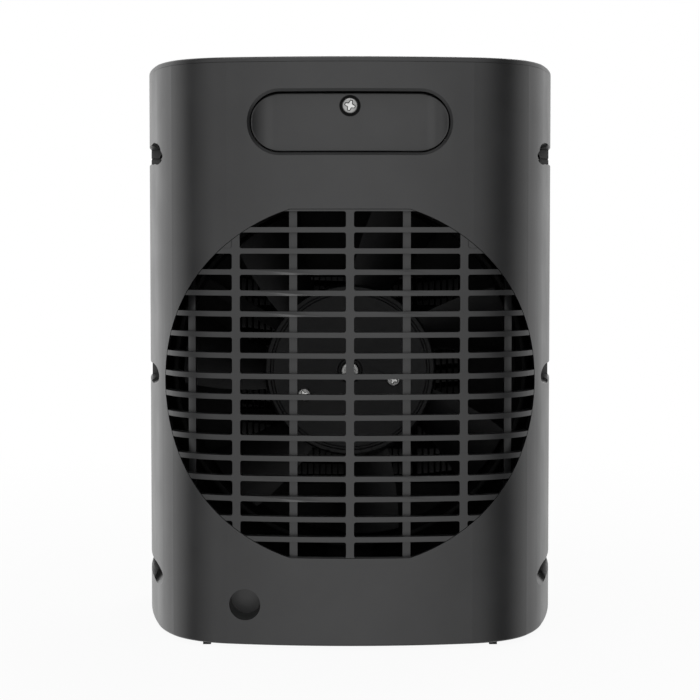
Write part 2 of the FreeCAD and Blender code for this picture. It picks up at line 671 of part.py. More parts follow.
def thermal_cutout():
    """Disc thermostat that cuts the power if the core overheats, on its mounting strap."""
    top = CORE_Z + CORE_SIZE[2] / 2 + FRAME_RAIL
    strap = block(36, 60, 110, 116, top, top + 1)
    disc = Part.makeCylinder(6.0, 7.0, V(47, y_at(113), top + 1), UP)
    return fuse([strap, disc])


def knob():
    """Round knob with a grip bar and a socket for its spindle, about the Y axis at the origin."""
    rear, front = KNOB_DEPTHS
    skirt = rod(KNOB_R, 0, 0, rear, rear + 4.0)
    edge = max(skirt.Edges, key=lambda e: -e.BoundBox.YMin if e.BoundBox.YLength < 0.01 else -1e9)
    skirt = skirt.makeFillet(1.2, [edge])
    bar = round_rect(7.0, 2 * KNOB_R - 1.0, 3.4, 0, 0, rear + 2, front)
    return fuse([skirt, bar]).cut(rod(SPINDLE_R, 0, 0, rear - 1, rear + 7))


def knob_at(side):
    """Knob at its place on the fascia."""
    shape = knob()
    shape.translate(V(side * KNOB_X, 0, KNOB_Z))
    return shape


def spindle(side):
    """Spindle that turns with a knob."""
    return rod(SPINDLE_R, side * KNOB_X, KNOB_Z, 136, KNOB_DEPTHS[0] + 7)


def control_body(side, width, height, rear):
    """Body of a rotary control, seated on the back of the fascia, with a running bore for its spindle."""
    x = side * KNOB_X
    front = KNOB_SEAT_DEPTHS[0]
    case = block(x - width / 2, x + width / 2, rear, front - 3, KNOB_Z - height / 2, KNOB_Z + height / 2)
    bush = rod(5.5, x, KNOB_Z, front - 4, front)
    return fuse([case, bush]).cut(rod(SPINDLE_R + SHAFT_CLEARANCE, x, KNOB_Z, 135, 160))


def indicator_lens():
    """Domed lens of the power light."""
    lens = rod(LENS_R, 0, LENS_Z, 150, 155.8)
    edge = max(lens.Edges, key=lambda e: -e.BoundBox.YMin if e.BoundBox.YLength < 0.01 else -1e9)
    return lens.makeFillet(1.2, [edge])


def indicator_lamp():
    """Neon lamp behind the lens."""
    return rod(2.0, 0, LENS_Z, 138, 150)


def feet():
    """Four narrow rubber feet under the base plate."""
    pieces = []
    for depth in FOOT_DEPTHS:
        for side in (-1, 1):
            x = side * FOOT_X
            pieces.append(block(x - FOOT_WIDTH / 2, x + FOOT_WIDTH / 2, depth - FOOT_LENGTH / 2,
                                depth + FOOT_LENGTH / 2, 0, BASE_BOTTOM))
    return Part.makeCompound(pieces)


def base_screws():
    """Four screws up through the base plate."""
    screws = []
    for x, depth in BASE_SCREWS:
        for side in (-1, 1):
            place = V(side * x, y_at(depth), BASE_BOTTOM - 1.6)
            head = Part.makeCylinder(2.9, 1.6, place, UP)
            screws.append(fuse([head, Part.makeCylinder(PILOT_R, 12, place + UP, UP)]))
    return Part.makeCompound(screws)


def tip_over_plunger():
    """Plunger that the floor presses up, with a collar and a stem into its switch."""
    y = y_at(PLUNGER_DEPTH)
    foot = Part.makeCylinder(PLUNGER_R, 13.0, V(0, y, 0.2), UP)
    foot = foot.makeFillet(1.0, [min(foot.Edges, key=lambda e: e.BoundBox.ZMax)])
    stem = Part.makeCylinder(STEM_R, 14.0, V(0, y, 12.0), UP)
    return fuse([foot, stem])


def tip_over_switch():
    """Switch housing on the base plate, open below for the plunger and bored for its stem."""
    y = PLUNGER_DEPTH
    case = block(-10, 10, y - 10, y + 10, BASE_TOP, 34)
    shaft_hole = Part.makeCylinder(PLUNGER_R + 0.06, 18, V(0, y_at(y), 3.4), UP)
    stem_hole = Part.makeCylinder(STEM_R + 0.4, 30, V(0, y_at(y), 10), UP)
    cavity = block(-7, 7, y - 7, y + 7, 22.5, 32)
    return case.cut(Part.makeCompound([shaft_hole, stem_hole, cavity]))


def plunger_spring():
    """Coil spring round the stem, as a sleeve of its outer shape."""
    y = y_at(PLUNGER_DEPTH)
    outer = Part.makeCylinder(STEM_R + 2.0, 7.9, V(0, y, 13.3), UP)
    return outer.cut(Part.makeCylinder(STEM_R + 0.7, 10, V(0, y, 12), UP))


def terminal_block():
    """Screw terminal block for the mains lead, on the base plate."""
    body = block(8, 36, 30, 42, BASE_TOP, BASE_TOP + 12)
    wells = [Part.makeCylinder(2.2, 5, V(x, y_at(36), BASE_TOP + 8), UP) for x in (13, 22, 31)]
    return body.cut(Part.makeCompound(wells))


PARTS = {
    "rear_housing": rear_housing,
    "front_housing": front_housing,
    "top_cap": top_cap,
    "base_plate": base_plate,
    "rear_grille": rear_grille,
    "grip_plate": grip_plate,
    "grip_screw": grip_screw,
    "front_grille": front_grille,
    "housing_screws": housing_screws,
    "cord_socket": cord_socket,
    "fan_duct": fan_duct,
    "fan_impeller": fan_impeller,
    "motor_shaft": motor_shaft,
    "shaft_cap": shaft_cap,
    "hub_screws": hub_screws,
    "motor_body": motor_body,
    "motor_screws": motor_screws,
    "ptc_core": ptc_core,
    "ptc_frame": ptc_frame,
    "core_baffle": core_baffle,
    "ptc_terminals": ptc_terminals,
    "thermal_cutout": thermal_cutout,
    "thermostat_knob": lambda: knob_at(1),
    "thermostat_spindle": lambda: spindle(1),
    "thermostat_body": lambda: control_body(1, 26, 22, 128),
    "mode_knob": lambda: knob_at(-1),
    "mode_spindle": lambda: spindle(-1),
    "mode_switch": lambda: control_body(-1, 24, 24, 130),
    "indicator_lens": indicator_lens,
    "indicator_lamp": indicator_lamp,
    "feet": feet,
    "base_screws": base_screws,
    "tip_over_plunger": tip_over_plunger,
    "tip_over_switch": tip_over_switch,
    "plunger_spring": plunger_spring,
    "terminal_block": terminal_block,
}


def main():
    os.makedirs("parts", exist_ok=True)
    for name, make in PARTS.items():
        shape = make()
        print(name, "valid" if shape.isValid() else "INVALID", len(shape.Solids), round(shape.Volume / 1000, 2))
        shape.exportStep("parts/" + name + ".step")


main()
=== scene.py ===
"""Looks of the ceramic space heater: materials, small detailed pieces, light and camera, in metres."""
import math

import bmesh
import bpy
from mathutils import Matrix, Vector

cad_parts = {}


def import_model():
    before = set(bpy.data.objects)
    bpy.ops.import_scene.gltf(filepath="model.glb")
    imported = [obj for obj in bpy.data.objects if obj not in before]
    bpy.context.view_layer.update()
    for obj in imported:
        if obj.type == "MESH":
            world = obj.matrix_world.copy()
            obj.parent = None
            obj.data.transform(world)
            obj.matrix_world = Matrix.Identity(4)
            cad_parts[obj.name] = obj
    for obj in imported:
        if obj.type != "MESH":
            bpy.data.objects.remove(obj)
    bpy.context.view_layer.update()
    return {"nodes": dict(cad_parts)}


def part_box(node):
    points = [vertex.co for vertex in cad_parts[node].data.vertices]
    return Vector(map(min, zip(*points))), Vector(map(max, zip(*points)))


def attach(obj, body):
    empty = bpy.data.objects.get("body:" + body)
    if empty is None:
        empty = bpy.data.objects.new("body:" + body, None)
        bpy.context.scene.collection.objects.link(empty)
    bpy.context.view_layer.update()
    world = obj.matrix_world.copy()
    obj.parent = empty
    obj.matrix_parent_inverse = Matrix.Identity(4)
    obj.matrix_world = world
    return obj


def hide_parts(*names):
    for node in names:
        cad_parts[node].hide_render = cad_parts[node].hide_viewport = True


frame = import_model()

HOUSING = "housing"
REAR_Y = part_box("rear_housing")[1].y
FRONT_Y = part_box("front_housing")[0].y
BACK_R = 0.240               # plan radius of the housing's rear face
FRONT_R = 0.320              # plan radius of the fascia
TOUCH = 1e-6                 # vertices closer than this are one
SHARP_DEG = 35.0             # edges of the pieces made here stay crisp above this angle

# Camera
LENS_MM = 108.0
CAMERA_GAP = 0.8448          # from the housing's rear face
CAMERA_HEIGHT = 0.1681
CAMERA_TILT_DEG = 3.107

# Widths of the soft edges on CAD nodes
SOFT_EDGES = {
    "top_cap": 0.0004,
    "front_grille": 0.0003,
    "fan_impeller": 0.0004,
    "thermostat_knob": 0.0004,
    "mode_knob": 0.0004,
}
SOFT_EDGE_DEG = 40.0         # edges above this angle are rounded
CRISP_EDGE_DEG = 32.0        # edges that stay above this angle aren't shaded over
WELD_GAP = 0.000002

# Grip plate
GRIP_INSET = 0.0008          # of the plate behind the housing's face
GRIP_SOFT_EDGE = 0.0004      # round of its rim
GRIP_HOLLOW = 0.0040         # depth of the finger hollow between the two ends
GRIP_SLOPE = 0.0088          # length of each end's slope
GRIP_FLANGE = 0.003          # edge of the CAD plate that the housing hides
GRIP_THICKNESS = 0.0052
GRIP_STEPS = 40              # along each half circle and each straight side
GRIP_RINGS = 24              # from the rim to the middle line
COUNTERBORE_R = 0.0043
COUNTERBORE_DEPTH = 0.0056   # from the housing's rearmost line
COUNTERBORE_MOUTH = 0.004    # how far its cutter stands out of the housing
SCREW_SEAT_R = 0.0024
GRIP_HEAD = 0.0019           # height of the screw's head

# Pan-head screws, as shares of the head's radius and height, or of the shank's radius
HEAD_SIDE = 0.55             # height of the upright side
HEAD_ROUND = (0.24, 0.35)    # width and height of the round above it
CROWN_SHOULDER = (0.45, 1.02)
CROWN = 1.04                 # height of the middle
TIP_FLAT = 0.4               # radius of the shank's flat tip
RECESS_DEPTH = 0.4           # of the cross; its cutter stands out as far above the crown
# The cross at its cutter's top and at its floor: inner corner, reach and half width of an arm
RECESS_TOP = (0.38, 0.90, 0.28)
RECESS_FLOOR = (0.20, 0.60, 0.10)

# Shaft cap
CAP_EDGE = 0.0008            # round of its rim
CAP_RING_DEPTH = 0.0004      # of the fine ring turned in its face
# The face from the rim inwards: share of the radius, depth
CAP_FACE = ((0.62, 0.00005), (0.58, CAP_RING_DEPTH), (0.52, CAP_RING_DEPTH), (0.48, 0.0001), (0, 0.0002))

# Spring of the tip-over plunger
SPRING_WIRE_R = 0.0003
SPRING_TURNS = 6
SPRING_STEPS = 24            # in each turn

# Controls
PRINT_COLOUR = (0.62, 0.62, 0.61)
PRINT_THICKNESS = 0.00012
PRINT_ROOT = 0.0002          # how far a mark reaches into the fascia
DIAL_R = 0.0205              # of the ring of the thermostat's dots
NUMBER_RING_R = DIAL_R + 0.0008
NUMBER_SIZE = 0.0048
DIAL_START_DEG = 90.0        # where the knobs point at rest, from +X towards +Z
THERMOSTAT_SWEEP_DEG = 270.0
MODE_STEP_DEG = 45.0
DOT_COUNT = 13
DOT_R = 0.00035              # of the first dot
DOT_GROWTH = 0.00006         # of the radius, from each dot to the next
POINTER = (0.0055, 0.0125)   # ends of the knob's pointer line, from its axis
POINTER_HALF_WIDTH = 0.0006
POINTER_DEPTH = 0.0001       # of the layer at the knob's front that takes the line

# Studio, where 1 is white
ROOM_LEVEL = 0.06            # what glossy surfaces see of the dim sides of the room
BACKDROP_Y = (0.18, -0.26)   # directions over which the backdrop ahead of the camera begins
BACKDROP_X = (-0.6, 0.2)     # directions over which it brightens to white
BACKDROP_DIM = 0.7           # its level at the dimmer side
SCREEN_Y = (0.30, 0.92)      # directions over which the screen behind the camera begins
SCREEN_TALL = 0.4            # share of height in those directions: the screens are tall
FLOOR_Z = (-0.25, -0.75)     # directions over which the pale floor begins, as glossy surfaces see it
FLOOR_LEVEL = 0.95
FILL_LEVEL = 0.6
FLOOR_GREY = 0.5             # of the real floor, which catches the shadow
FLOOR_FADE = (0.15, 0.7)     # distances from the middle over which it turns plain white
FLOOR_WHITE = 0.94           # share of plain white inside the nearer distance
FLOOR_HALF = 4.0
FLOOR_DROP = 0.0002          # below the feet
LIGHT_TARGET = (0, 0, 0.12)


# ---------------------------------------------------------------- materials

def new_material(name):
    """Empty node material: returns it with its node tree and principled shader."""
    material = bpy.data.materials.new(name)
    material.use_nodes = True
    tree = material.node_tree
    return material, tree, tree.nodes["Principled BSDF"]


def noise(tree, scale, detail=3.0):
    """Noise over object coordinates; returns its value socket."""
    place = tree.nodes.new("ShaderNodeTexCoord")
    texture = tree.nodes.new("ShaderNodeTexNoise")
    texture.inputs["Scale"].default_value = scale
    texture.inputs["Detail"].default_value = detail
    texture.inputs["Roughness"].default_value = 0.55
    tree.links.new(place.outputs["Object"], texture.inputs["Vector"])
    return texture.outputs["Fac"]


def ramp(tree, value, low, high, start=0.35, end=0.65):
    """Colour ramp between two colours; returns its colour socket."""
    node = tree.nodes.new("ShaderNodeValToRGB")
    node.color_ramp.elements[0].position = start
    node.color_ramp.elements[0].color = (*low, 1)
    node.color_ramp.elements[1].position = end
    node.color_ramp.elements[1].color = (*high, 1)
    tree.links.new(value, node.inputs["Fac"])
    return node.outputs["Color"]


def map_range(tree, value, source, target, smooth=False):
    """Value socket carried from one range to another, with soft ends if smooth."""
    node = tree.nodes.new("ShaderNodeMapRange")
    if smooth:
        node.interpolation_type = "SMOOTHSTEP"
    for name, limit in zip(("From Min", "From Max", "To Min", "To Max"), (*source, *target)):
        node.inputs[name].default_value = limit
    tree.links.new(value, node.inputs["Value"])
    return node.outputs["Result"]


def spread(tree, value, low, high):
    """Value socket of a noise, most of which lies between 0.3 and 0.7, spread over a range."""
    return map_range(tree, value, (0.3, 0.7), (low, high))


def maths(tree, operation, first, second):
    """Result socket of a math node; an input is a socket or a number."""
    node = tree.nodes.new("ShaderNodeMath")
    node.operation = operation
    for place, value in zip(node.inputs, (first, second)):
        if isinstance(value, float):
            place.default_value = value
        else:
            tree.links.new(value, place)
    return node.outputs[0]


def vector_length(tree, vector):
    """Value socket with the length of a vector socket."""
    node = tree.nodes.new("ShaderNodeVectorMath")
    node.operation = "LENGTH"
    tree.links.new(vector, node.inputs[0])
    return node.outputs["Value"]


def bump(tree, shader, value, depth):
    """Bump from a value socket, depth in metres."""
    node = tree.nodes.new("ShaderNodeBump")
    node.inputs["Distance"].default_value = depth
    tree.links.new(value, node.inputs["Height"])
    tree.links.new(node.outputs["Normal"], shader.inputs["Normal"])


def plastic(name, colour, rough, grain=2200.0, depth=0.00002, mottle=0.10, specular=0.5):
    """Moulded plastic: fine spark-eroded grain, faint mottling and uneven sheen."""
    material, tree, shader = new_material(name)
    low = [c * (1 - mottle) for c in colour]
    high = [c * (1 + mottle) for c in colour]
    tree.links.new(ramp(tree, noise(tree, 60.0, 5.0), low, high), shader.inputs["Base Color"])
    tree.links.new(spread(tree, noise(tree, 35.0, 4.0), *rough), shader.inputs["Roughness"])
    shader.inputs["Specular IOR Level"].default_value = specular
    bump(tree, shader, noise(tree, grain, 2.0), depth)
    return material


def metal(name, colour, rough=(0.22, 0.36)):
    """Plated or drawn metal with fine marks and slight tarnish."""
    material, tree, shader = new_material(name)
    shader.inputs["Metallic"].default_value = 1.0
    low = [c * 0.86 for c in colour]
    tree.links.new(ramp(tree, noise(tree, 300.0, 4.0), low, colour), shader.inputs["Base Color"])
    tree.links.new(spread(tree, noise(tree, 500.0), *rough), shader.inputs["Roughness"])
    bump(tree, shader, noise(tree, 900.0), 0.000006)
    return material


def ceramic(name, colour):
    """Heat-resistant board: chalky, finely speckled and hardly glossy."""
    material, tree, shader = new_material(name)
    low = [c * 0.82 for c in colour]
    speckle = ramp(tree, noise(tree, 1500.0, 4.0), low, colour, start=0.3, end=0.6)
    tree.links.new(speckle, shader.inputs["Base Color"])
    tree.links.new(spread(tree, noise(tree, 200.0), 0.65, 0.85), shader.inputs["Roughness"])
    shader.inputs["Specular IOR Level"].default_value = 0.03
    bump(tree, shader, noise(tree, 2500.0), 0.00003)
    return material


def tinted_lens(name, colour):
    """Clear tinted plastic of the power light."""
    material, tree, shader = new_material(name)
    low = [c * 0.8 for c in colour]
    tree.links.new(ramp(tree, noise(tree, 400.0), low, colour), shader.inputs["Base Color"])
    tree.links.new(spread(tree, noise(tree, 300.0), 0.08, 0.16), shader.inputs["Roughness"])
    shader.inputs["Transmission Weight"].default_value = 0.55
    shader.inputs["Coat Weight"].default_value = 0.4
    return material


def rubber(name, colour):
    """Soft matte rubber with dust in its grain."""
    material, tree, shader = new_material(name)
    high = [c * 1.6 + 0.004 for c in colour]
    tree.links.new(ramp(tree, noise(tree, 700.0, 5.0), colour, high), shader.inputs["Base Color"])
    tree.links.new(spread(tree, noise(tree, 250.0), 0.7, 0.9), shader.inputs["Roughness"])
    bump(tree, shader, noise(tree, 1800.0), 0.00004)
    return material


MATERIALS = {
    "housing": plastic("housing_charcoal", (0.0165, 0.0167, 0.0172), rough=(0.30, 0.36)),
    "grille": plastic("grille_charcoal", (0.0165, 0.0167, 0.0172), rough=(0.30, 0.36)),
    # The fan plastic is black, and darker and less glossy than the housing's as painted shade of the
    # deep fan cavity
    "fan": plastic("fan_black_and_painted_shade", (0.007, 0.007, 0.0074), rough=(0.40, 0.50), specular=0.18),
    "duct": plastic("duct_black_and_bore_shade", (0.003, 0.003, 0.0031), rough=(0.6, 0.7), specular=0.16),
    "outlet": plastic("outlet_black", (0.005, 0.005, 0.0053), rough=(0.58, 0.68), specular=0.11),
    "knob": plastic("knob_black", (0.02, 0.02, 0.021), rough=(0.34, 0.42)),
    "natural": plastic("natural_plastic", (0.62, 0.60, 0.55), rough=(0.4, 0.5)),
    # The PTC frame's ceramic is near-black as painted shade of the dark interior
    "heat_frame": ceramic("heat_frame", (0.0015, 0.0015, 0.0015)),
    "steel": metal("plated_steel", (0.30, 0.30, 0.296), rough=(0.26, 0.40)),
    # Screw recesses: the brighter steel on their floor is a painted highlight, the near-black steel on
    # their walls is painted shade
    "recess_floor": metal("recess_floor_painted_highlight", (0.55, 0.55, 0.54), rough=(0.22, 0.34)),
    "recess": metal("recess_wall_painted_shade", (0.05, 0.05, 0.05), rough=(0.5, 0.65)),
    "motor": metal("zinc_steel", (0.16, 0.16, 0.165), rough=(0.42, 0.56)),
    # The heater core's fins are near-black and hardly glossy as painted shade of the dark interior
    "fins": plastic("ptc_fins_painted_shade", (0.004, 0.004, 0.0041), rough=(0.65, 0.8), specular=0.05),
    "brass": metal("plated_brass", (0.80, 0.62, 0.30)),
    "lens": tinted_lens("amber_lens", (0.85, 0.16, 0.03)),
    "rubber": rubber("foot_rubber", (0.012, 0.012, 0.012)),
    "print": plastic("dial_print", PRINT_COLOUR, rough=(0.5, 0.6), grain=3500.0, depth=0.000004,
                     mottle=0.05),
}

NODE_MATERIALS = {
    "housing": ("rear_housing", "front_housing", "top_cap", "base_plate", "cord_socket"),
    "grille": ("rear_grille", "grip_plate"),
    "outlet": ("front_grille",),
    "fan": ("fan_impeller",),
    "duct": ("fan_duct", "core_baffle", "tip_over_switch"),
    "knob": ("thermostat_knob", "mode_knob"),
    "natural": ("thermostat_body", "mode_switch", "thermostat_spindle", "mode_spindle",
                "terminal_block", "tip_over_plunger"),
    "heat_frame": ("ptc_frame",),
    "steel": ("grip_screw", "housing_screws", "hub_screws", "motor_screws", "base_screws",
              "motor_shaft", "shaft_cap", "plunger_spring"),
    "motor": ("motor_body", "thermal_cutout"),
    "fins": ("ptc_core",),
    "brass": ("ptc_terminals",),
    "lens": ("indicator_lens", "indicator_lamp"),
    "rubber": ("feet",),
}


def soften_edges(node, width):
    """Small rounds on the sharp edges of a CAD node, with even shading between them, as modifiers."""
    weld = node.modifiers.new("weld", "WELD")
    weld.merge_threshold = WELD_GAP
    bevel = node.modifiers.new("soft_edges", "BEVEL")
    bevel.width = width
    bevel.segments = 2
    bevel.limit_method = "ANGLE"
    bevel.angle_limit = math.radians(SOFT_EDGE_DEG)
    bevel.use_clamp_overlap = False
    split = node.modifiers.new("crisp_edges", "EDGE_SPLIT")
    split.split_angle = math.radians(CRISP_EDGE_DEG)
    split.use_edge_sharp = False
    shading = node.modifiers.new("even_shading", "WEIGHTED_NORMAL")
    shading.weight = 100


def dress_nodes():
    """Give every CAD node its material."""
    for key, names in NODE_MATERIALS.items():
        for name in names:
            node = frame["nodes"][name]
            if not node.material_slots:
                node.data.materials.append(MATERIALS[key])
            for place in node.material_slots:
                place.material = MATERIALS[key]


# ---------------------------------------------------------------- mesh helpers

def mesh_object(name, mesh_data, material):
    """Object from a bmesh, smooth shaded except at sharp edges."""
    mesh = bpy.data.meshes.new(name)
    bmesh.ops.recalc_face_normals(mesh_data, faces=mesh_data.faces)
    mesh_data.to_mesh(mesh)
    mesh_data.free()
    thing = bpy.data.objects.new(name, mesh)
    bpy.context.scene.collection.objects.link(thing)
    mesh.materials.append(material)
    mesh.shade_smooth()
    mesh.set_sharp_from_angle(angle=math.radians(SHARP_DEG))
    return thing


def circle_points(x, y, radius, steps):
    """Points round a circle in a plane, anticlockwise."""
    angles = [2 * math.pi * i / steps for i in range(steps)]
    return [(x + radius * math.cos(a), y + radius * math.sin(a)) for a in angles]


def quarter_round(centre, width, rise, steps):
    """Quarter round about a centre in a (radius, height) profile, as points from side to top."""
    angles = [math.pi / 2 * i / steps for i in range(steps + 1)]
    return [(centre[0] + width * math.cos(a), centre[1] + rise * math.sin(a)) for a in angles]


def lathe(profile, steps, matrix):
    """Closed solid turned about Z from (radius, height) points, both ends on the axis, then placed."""
    shape = bmesh.new()
    rings = []
    for radius, height in profile:
        circle = circle_points(0, 0, radius, steps) if radius else [(0, 0)]
        rings.append([shape.verts.new((x, y, height)) for x, y in circle])
    for lower, upper in zip(rings, rings[1:]):
        for i in range(steps):
            quad = [lower[i % len(lower)], lower[(i + 1) % len(lower)],
                    upper[(i + 1) % len(upper)], upper[i % len(upper)]]
            shape.faces.new(list(dict.fromkeys(quad)))
    shape.transform(matrix)
    return shape


def cut(target, cutter):
    """Boolean difference, applied; the cutter is removed."""
    modifier = target.modifiers.new("cut", "BOOLEAN")
    modifier.operation = "DIFFERENCE"
    modifier.solver = "EXACT"
    modifier.material_mode = "TRANSFER"
    modifier.object = cutter
    bpy.context.view_layer.update()
    evaluated = target.evaluated_get(bpy.context.evaluated_depsgraph_get())
    mesh = bpy.data.meshes.new_from_object(evaluated)
    target.modifiers.clear()
    target.data = mesh
    mesh.set_sharp_from_angle(angle=math.radians(SHARP_DEG))
    bpy.data.objects.remove(cutter)


def facing(centre, direction, turn=0.0):
    """Matrix that puts local +Z along a direction at a centre, after a turn about that axis."""
    quaternion = Vector(direction).to_track_quat("Z", "Y")
    return Matrix.Translation(centre) @ quaternion.to_matrix().to_4x4() @ Matrix.Rotation(turn, 4, "Z")


# ---------------------------------------------------------------- screws

def cross_cutter(name, radius, depth, matrix):
    """Steep-walled cross that cuts a recess from local z = 0 down to the depth; its floor takes a
    brighter steel as a painted highlight and its walls a near-black steel as painted shade.
    """
    shape = bmesh.new()
    loops = []
    for z, shares in ((depth, RECESS_TOP), (-depth, RECESS_FLOOR)):
        inner, reach, half = (radius * share for share in shares)
        arm = ((inner, inner), (reach, half), (reach, -half))
        corners = []
        for i in range(4):
            turn = Matrix.Rotation(-math.pi / 2 * i, 3, "Z")
            corners += [turn @ Vector((x, y, z)) for x, y in arm]
        loops.append([shape.verts.new(corner) for corner in corners])
    top, low = loops
    shape.faces.new(top)
    shape.faces.new(low[::-1])
    count = len(top)
    for i in range(count):
        wall = shape.faces.new((top[i], low[i], low[(i + 1) % count], top[(i + 1) % count]))
        # walls take the near-black steel: painted shade
        wall.material_index = 1
    shape.transform(matrix)
    cutter = mesh_object(name, shape, MATERIALS["recess_floor"])
    cutter.data.materials.append(MATERIALS["recess"])
    return cutter


def pan_screw(name, centre, direction, radius, height, shank_r, length, turn):
    """Pan-head screw with a cross recess; the seat of its head is at the centre."""
    profile = [(0, -length), (shank_r * TIP_FLAT, -length), (shank_r, shank_r - length)]
    profile += [(shank_r, 0), (radius, 0)]
    width, rise = radius * HEAD_ROUND[0], height * HEAD_ROUND[1]
    profile += quarter_round((radius - width, height * HEAD_SIDE), width, rise, steps=6)
    profile += [(radius * CROWN_SHOULDER[0], height * CROWN_SHOULDER[1]), (0, height * CROWN)]
    shape = lathe(profile, steps=40, matrix=facing(centre, direction, turn))
    screw = mesh_object(name, shape, MATERIALS["steel"])
    mouth = facing(centre + direction * height * CROWN, direction, turn)
    cut(screw, cross_cutter(name + "_recess", radius, height * RECESS_DEPTH, mouth))
    return screw


# ---------------------------------------------------------------- grip plate

def rear_surface_y(x):
    """Y of the housing's rear face at a distance x from the middle, on its broad back arc."""
    return REAR_Y - BACK_R + math.sqrt(BACK_R ** 2 - x * x)


def slot_rays(half_length, steps):
    """Rays from the middle line of a slot shape to its edge: (start x, direction x, direction z)."""
    rays = []
    for side, first in ((1, -math.pi / 2), (-1, math.pi / 2)):
        for i in range(steps):
            angle = first + math.pi * i / steps
            rays.append((side * half_length, math.cos(angle), math.sin(angle)))
        for i in range(steps):
            rays.append((side * half_length * (1 - 2 * i / steps), 0.0, float(side)))
    return rays


def grip_screw_seat():
    """Seat of the grip screw's head, whose crown stands as high as the CAD screw's."""
    low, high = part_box("grip_screw")
    return Vector(((low.x + high.x) / 2, high.y - GRIP_HEAD * CROWN, (low.z + high.z) / 2))


def hollow_share(x, half_width):
    """Depth of the finger hollow at x, as a share: level between a rounded slope at each end."""
    inward = max(half_width - abs(x), 0.0) / GRIP_SLOPE
    return 1 - max(1 - inward, 0.0) ** 2


def hollowed_plate():
    """Plate that follows the curve of the back, with a soft rim and a finger hollow."""
    low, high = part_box("grip_plate")
    middle_z = (low.z + high.z) / 2
    radius = (high.z - low.z) / 2 - GRIP_FLANGE
    half_length = (high.x - low.x) / 2 - GRIP_FLANGE - radius
    rim = radius - GRIP_SOFT_EDGE
    edge = quarter_round((rim, GRIP_SOFT_EDGE), GRIP_SOFT_EDGE, -GRIP_SOFT_EDGE, steps=4)
    rings = [(radius, GRIP_THICKNESS, 0.0)]
    rings += [(reach, depth, GRIP_HOLLOW) for reach, depth in edge]
    rings += [(rim * (1 - step / GRIP_RINGS), 0.0, GRIP_HOLLOW) for step in range(1, GRIP_RINGS + 1)]
    rays = slot_rays(half_length, GRIP_STEPS)
    shape = bmesh.new()
    loops = []
    for reach, depth, hollow in rings:
        loop = []
        for start, across, up in rays:
            x = start + across * reach
            y = rear_surface_y(x) - GRIP_INSET - depth - hollow * hollow_share(x, half_length + rim)
            loop.append(shape.verts.new((x, y, middle_z + up * reach)))
        loops.append(loop)
    count = len(rays)
    for outer, inner in zip(loops, loops[1:]):
        for i in range(count):
            shape.faces.new((outer[i], outer[(i + 1) % count], inner[(i + 1) % count], inner[i]))
    back = shape.faces.new(loops[0][::-1])
    bmesh.ops.triangulate(shape, faces=[back])
    bmesh.ops.remove_doubles(shape, verts=shape.verts, dist=TOUCH)
    return mesh_object("grip_plate_dished", shape, MATERIALS["grille"])


def grip_plate():
    """Hollowed plate with a counterbore for its screw, which sits on a raised seat; the counterbore's
    walls take the near-black duct plastic as painted shade.
    """
    plate = hollowed_plate()
    screw_seat = grip_screw_seat()
    seat = screw_seat.y - REAR_Y
    profile = [(0, seat), (SCREW_SEAT_R, seat), (SCREW_SEAT_R, -COUNTERBORE_DEPTH)]
    profile += [(COUNTERBORE_R, -COUNTERBORE_DEPTH), (COUNTERBORE_R, COUNTERBORE_MOUTH)]
    profile += [(0, COUNTERBORE_MOUTH)]
    bore = lathe(profile, steps=48, matrix=facing((0, REAR_Y, screw_seat.z), (0, 1, 0)))
    # near-black walls of the counterbore: painted shade
    cut(plate, mesh_object("grip_bore", bore, MATERIALS["duct"]))
    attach(plate, HOUSING)
    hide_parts("grip_plate")


# ---------------------------------------------------------------- fasteners and small pieces

def solids_of(node):
    """Boxes of the separate solids in a node, in metres."""
    mesh = bmesh.new()
    mesh.from_mesh(frame["nodes"][node].data)
    bmesh.ops.remove_doubles(mesh, verts=mesh.verts, dist=TOUCH)
    mesh.verts.ensure_lookup_table()
    seen, boxes = set(), []
    for first in mesh.verts:
        if first.index in seen:
            continue
        stack, island = [first], []
        seen.add(first.index)
        while stack:
            vert = stack.pop()
            island.append(vert.co.copy())
            for edge in vert.link_edges:
                other = edge.other_vert(vert)
                if other.index not in seen:
                    seen.add(other.index)
                    stack.append(other)
        low = Vector(min(c[i] for c in island) for i in range(3))
        high = Vector(max(c[i] for c in island) for i in range(3))
        boxes.append((low, high))
    mesh.free()
    return boxes


def screws(node, body, head_r, shank_r, height, turns, direction=(0, 1, 0)):
    """Detailed pan-head screws in place of a node's screws, all with their heads in one direction."""
    made = []
    out = Vector(direction)
    boxes = sorted(solids_of(node), key=lambda box: (box[0].z, box[0].x))
    for (low, high), turn in zip(boxes, turns):
        half = (high - low) / 2
        reach = abs(half.dot(out))
        seat = low + half + out * (reach - height * CROWN)
        length = 2 * reach - height * CROWN
        screw = pan_screw(f"{node}_{len(made) + 1}", seat, out, head_r, height, shank_r, length, turn)
        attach(screw, body)
        made.append(screw)
    for screw in made:
        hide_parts(node)


def shaft_cap():
    """Bright press-on cap over the end of the shaft, with a fine ring turned in its face."""
    low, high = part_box("shaft_cap")
    shaft_low, shaft_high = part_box("motor_shaft")
    radius, length = (high.x - low.x) / 2, high.y - low.y
    bore_r, bore = (shaft_high.x - shaft_low.x) / 2, shaft_high.y - low.y
    profile = [(0, bore), (bore_r, bore), (bore_r, 0), (radius, 0)]
    profile += quarter_round((radius - CAP_EDGE, length - CAP_EDGE), CAP_EDGE, CAP_EDGE, steps=5)
    profile += [(radius * share, length - depth) for share, depth in CAP_FACE]
    place = facing(((low.x + high.x) / 2, low.y, (low.z + high.z) / 2), (0, 1, 0))
    shape = lathe(profile, steps=48, matrix=place)
    cap = mesh_object("shaft_cap_turned", shape, MATERIALS["steel"])
    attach(cap, "fan")
    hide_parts("shaft_cap")


